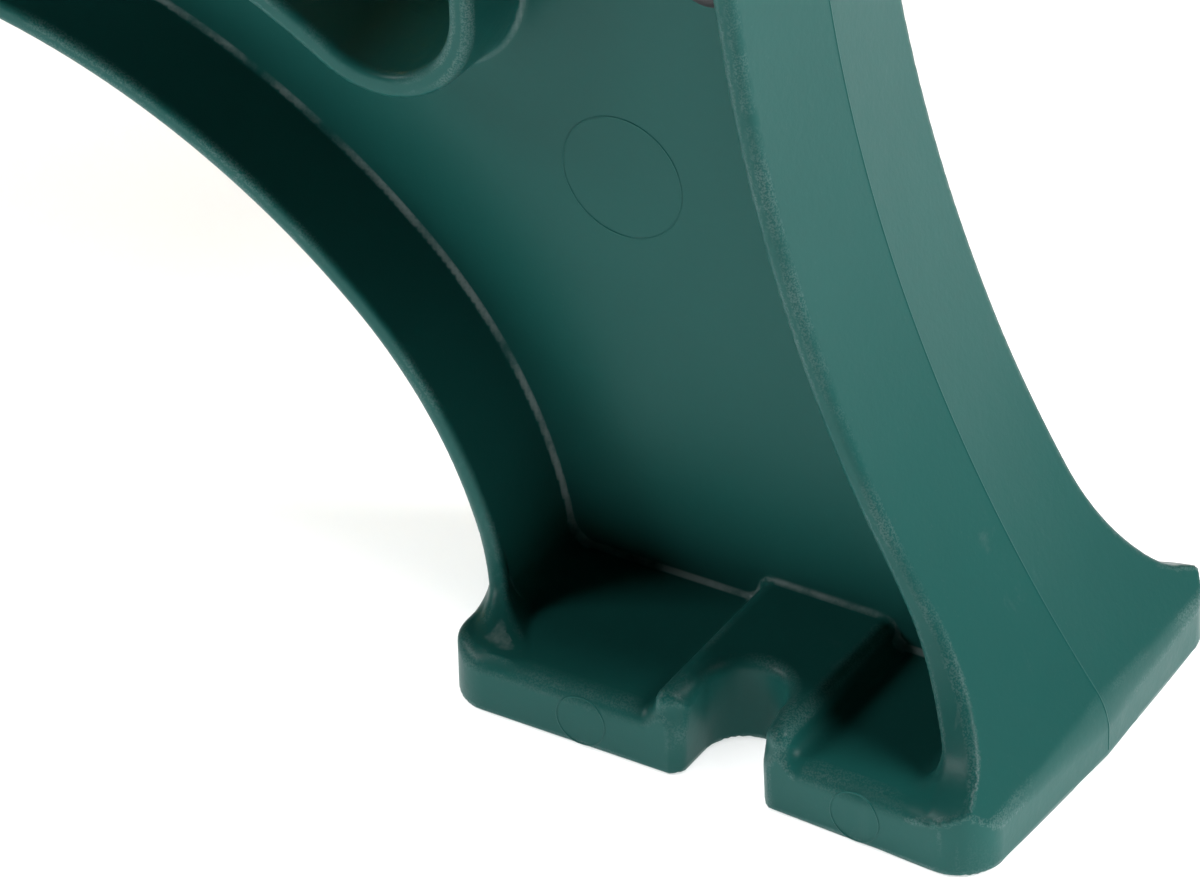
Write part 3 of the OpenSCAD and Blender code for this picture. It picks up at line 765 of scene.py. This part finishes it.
def chute_section():
    """Closed section (across, above the sliding face): floor, wall, rolled rim, skirt and underside."""
    half = [(y, 0.0) for y in (0, 30, 60, 90, 120, 150)]
    half += arc(168, 28, 28, -90, 0, 12)
    half += [(196, 45), (196, 62), (195.6, 76)]
    # the rim, rolled outwards
    half += arc(190.8, 84.5, 2.0, -60, -180, 3)
    half += arc(195.5, 91, 6.8, 190, 90, 8)
    half += arc(202.5, 91, 6.8, 90, -10, 8)
    half += arc(207, 86.0, 2.2, -10, -120, 4)
    # outside of the wall, down to the skirt's edge and up again inside it
    half += [(202.2, 80), (202, 60), (202, 30), (202, 0), (202, -20)]
    half += arc(200.0, -34.0, 2.0, 0, -90, 4)
    half += arc(198.0, -34.0, 2.0, -90, -180, 4)
    half += [(196, -24)]
    half += arc(190, -12, 6, 0, 90, 6)
    half += [(150, -6), (100, -6), (50, -6), (0, -6)]
    return half + [(-y, o) for y, o in reversed(half[1:-1])]


def chute_mesh():
    """The section swept along the stations; the rim is marked for the pale edge colour, partly
    whitening and partly painted highlight.
    """
    loop = chute_section()
    bm = bmesh.new()
    rows = []
    for x, z, nx, nz, f in stations():
        row = [((X0 + x + nx * o * f) * MM, y * MM, (z + nz * o * f) * MM) for y, o in loop]
        rows.append([bm.verts.new(point) for point in row])
    for p, q in zip(rows, rows[1:]):
        for j in range(len(loop)):
            k = (j + 1) % len(loop)
            bm.faces.new((p[j], p[k], q[k], q[j]))
    bm.faces.new(rows[0])
    bm.faces.new(list(reversed(rows[-1])))
    bmesh.ops.recalc_face_normals(bm, faces=bm.faces)
    me = finished("chute_v", bm, 40)
    # the rolled rim takes the pale edge colour: partly whitening, partly painted highlight
    rim = [1.0 if abs(abs(y) - WALL_Y) < 9 and o > 86 else 0.0 for y, o in loop]
    whitening_glint_attr = me.attributes.new("edge", "FLOAT", "POINT")
    whitening_glint_attr.data.foreach_set("value", np.tile(np.array(rim, np.float32), len(rows)))
    return me


def rounded_box(bm, lo, hi, r, place):
    """Box from lo to hi with edges rounded to r, moved by the matrix place."""
    vs = bmesh.ops.create_cube(bm, size=1.0)["verts"]
    for v in vs:
        v.co = Vector([lo[i] + (hi[i] - lo[i]) * (v.co[i] + 0.5) for i in range(3)])
    es = list({e for v in vs for e in v.link_edges})
    out = bmesh.ops.bevel(bm, geom=es, offset=r, segments=3, profile=0.5, affect="EDGES")
    for v in {v for f in out["faces"] for v in f.verts}:
        v.co = place @ v.co


def rib_mesh():
    """Cross ribs under the straight part of the chute."""
    half_rib = Vector((0.0025, 0.197, 0.010))
    middle = Vector((0, 0, -0.014))
    bm = bmesh.new()
    for i in range(RIBS):
        t = 0.04 + 0.92 * i / (RIBS - 1)
        x = X0 + B[0] + (C[0] - B[0]) * t
        z = B[1] + (C[1] - B[1]) * t
        tilt = Matrix.Rotation(math.radians(-SLOPE), 4, "Y")
        place = Matrix.Translation((x * MM, 0, z * MM)) @ tilt
        rounded_box(bm, middle - half_rib, middle + half_rib, 0.0011, place)
    return finished("chute_ribs", bm)


add("chute_v", chute_mesh(), yellow, "chute")
add("chute_ribs", rib_mesh(), yellow, None)


# ---------------------------------------------------------------- moulded boxes with rounded edges
def soften(node, mat, width, seg=3, angle=30):
    """Rounded-edge copy of a CAD node, which it replaces."""
    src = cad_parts[node]
    bm = bmesh.new()
    bm.from_mesh(src.data)
    bm.transform(src.matrix_world)
    bmesh.ops.remove_doubles(bm, verts=bm.verts, dist=2e-6)
    bmesh.ops.dissolve_limit(bm, angle_limit=math.radians(1.5), verts=bm.verts, edges=bm.edges)
    me = bpy.data.meshes.new(node + "_v")
    bm.to_mesh(me)
    bm.free()
    ob = add(node + "_v", me, mat, node)
    mod = ob.modifiers.new("round", "BEVEL")
    mod.width = width
    mod.segments = seg
    mod.limit_method = "ANGLE"
    mod.angle_limit = math.radians(angle)
    mod.harden_normals = True
    mod.use_clamp_overlap = True
    me.shade_smooth()
    me.set_sharp_from_angle(angle=math.radians(angle + 5))
    return ob


for part in ("deck_panel", "tread_lower", "tread_upper"):
    soften(part, beige, 0.0022)
soften("exit_base", green_plain, 0.003)
for part in ("deck_grips", "tread_grips"):
    soften(part, black_rubber, 0.0009, 2)
soften("rail_collars", black_plastic, 0.0025)
soften("hanger_sleeves", black_plastic, 0.0012, 2)
for part in ("deck_nuts", "tread_nuts"):
    soften(part, steel, 0.0005, 2)


# ---------------------------------------------------------------- caps
OUT_Y = FRAME_Y + WEB_HALF
CAP_PROFILE = ((12.0, 0.0), (12.0, 4.6), (11.8, 5.6), (11.2, 6.3), (9.6, 7.4), (7.2, 8.1), (4.0, 8.4))
CAP_TIP = 8.5


def lathe(bm, c, side, prof, tip, seg=48):
    """Turned cap on the ring c, closed at the height tip; prof is (radius, height) towards side."""
    rows = []
    for r, h in prof:
        turn = [2 * math.pi * i / seg for i in range(seg)]
        ring = [Vector((r * math.cos(a), h * side, -side * r * math.sin(a))) for a in turn]
        rows.append([bm.verts.new((c + v) * MM) for v in ring])
    for p, q in zip(rows, rows[1:]):
        for i in range(seg):
            j = (i + 1) % seg
            bm.faces.new((p[i], p[j], q[j], q[i]))
    end = bm.verts.new((c + Vector((0, tip * side, 0))) * MM)
    for i in range(seg):
        bm.faces.new((rows[-1][i], rows[-1][(i + 1) % seg], end))


def bolt_places():
    """(x, z) of the bolts that hold the deck and the two treads to a frame."""
    deck_back = lean_x(DECK_Z) - 15
    out = [(x, DECK_Z - 30) for x in (-DECK_FRONT + 40, 20, deck_back - 45)]
    for i in (1, 2):
        tread_middle = lean_x(STEP * i) - 50
        out += [(tread_middle + s * 20, STEP * i - 18) for s in (-1, 1)]
    return out


def cap_mesh():
    """Snap caps over the outer bolt heads of both frames."""
    bm = bmesh.new()
    for x, z in bolt_places():
        for side in (-1, 1):
            lathe(bm, Vector((X0 + x, side * OUT_Y, z)), side, CAP_PROFILE, CAP_TIP)
    bmesh.ops.recalc_face_normals(bm, faces=bm.faces)
    return finished("bolt_caps_v", bm, 50)


add("bolt_caps_v", cap_mesh(), black_plastic, "bolt_caps")

# ---------------------------------------------------------------- CAD nodes that stay
KEEP = {
    zinc: ("hanger_tube", "brace_tube"),
    black_plastic: ("tube_inserts",),
    blue: ("handrail_near", "handrail_far"),
    steel: ("tube_bolts", "tube_washers", "exit_screws", "rail_screws", "deck_bolts",
            "deck_washers", "tread_bolts", "tread_washers"),
}
for mat, names in KEEP.items():
    for name in names:
        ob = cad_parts[name]
        if not ob.material_slots:
            ob.data.materials.append(mat)
        for material_slot in ob.material_slots:
            material_slot.material = mat


# ---------------------------------------------------------------- stage and light
def make_floor():
    """A wide sheet of plain pale paper."""
    me = bpy.data.meshes.new("floor")
    corners = [(-30, -30, 0), (30, -30, 0), (30, 30, 0), (-30, 30, 0)]
    me.from_pydata(corners, [], [(0, 1, 2, 3)])
    ob = bpy.data.objects.new("floor", me)
    bpy.context.collection.objects.link(ob)
    paper = Nodes("floor_paper")
    fleck = paper.ramp(paper.noise(3.0, 3.0), 0.3, 0.7)
    pale = paper.mix(fleck, rgba((0.90, 0.90, 0.90)), rgba((0.92, 0.92, 0.92)))
    paper.link(pale, paper.bsdf.inputs["Base Color"])
    paper.bsdf.inputs["Roughness"].default_value = 0.9
    me.materials.append(paper.mat)
    return ob


def make_world():
    """A white surround that is only seen: the lamps alone light the slide."""
    world = bpy.data.worlds.new("world")
    bpy.context.scene.world = world
    world.use_nodes = True
    world.node_tree.nodes["Background"].inputs["Color"].default_value = (1, 1, 1, 1)
    world.node_tree.nodes["Background"].inputs["Strength"].default_value = 1.0
    world.cycles_visibility.diffuse = False
    world.cycles_visibility.glossy = False


def area(name, pos, target, size, power):
    """Soft box at pos, in metres about the tower's middle, aimed at target."""
    middle = Vector((X0 * MM, 0, 0))
    data = bpy.data.lights.new(name, "AREA")
    data.shape = "RECTANGLE"
    data.size, data.size_y = size
    data.energy = power
    ob = bpy.data.objects.new(name, data)
    bpy.context.collection.objects.link(ob)
    ob.location = middle + Vector(pos)
    aim = Vector(target) - Vector(pos)
    ob.rotation_euler = aim.to_track_quat("-Z", "Y").to_euler()
    return ob


def reach_of(light, objects):
    """Light linking: a collection of the objects, which the light is then limited to."""
    coll = bpy.data.collections.new(light.name + "_reach")
    for ob in objects:
        coll.objects.link(ob)
    light.light_linking.receiver_collection = coll
    return coll


floor = make_floor()
make_world()
area("side", (2.9, 0.7, 2.5), (0.35, -0.26, 0.15), (1.8, 1.8), 122)
area("front", (-2.7, -2.06, 2.0), (0.2, -0.26, 0.15), (1.4, 1.0), 54)
# the lamp above leaves out the near frame, whose web and foot are dark in the photo
top_light = area("top", (-0.5, 0.2, 4.2), (-0.5, 0, 0.2), (3.4, 2.6), 150)
for item in reach_of(top_light, [frames["near"]]).collection_objects:
    item.light_linking.link_state = "EXCLUDE"
# the floor is evenly white: it has a lamp of its own, for which nothing throws a shadow
wash = area("floor_wash", (0, 0, 14.0), (0, 0, 0), (40, 40), 8200)
wash.light_linking.blocker_collection = reach_of(wash, [floor])

bpy.context.scene.view_settings.view_transform = "Standard"
bpy.context.scene.view_settings.look = "None"
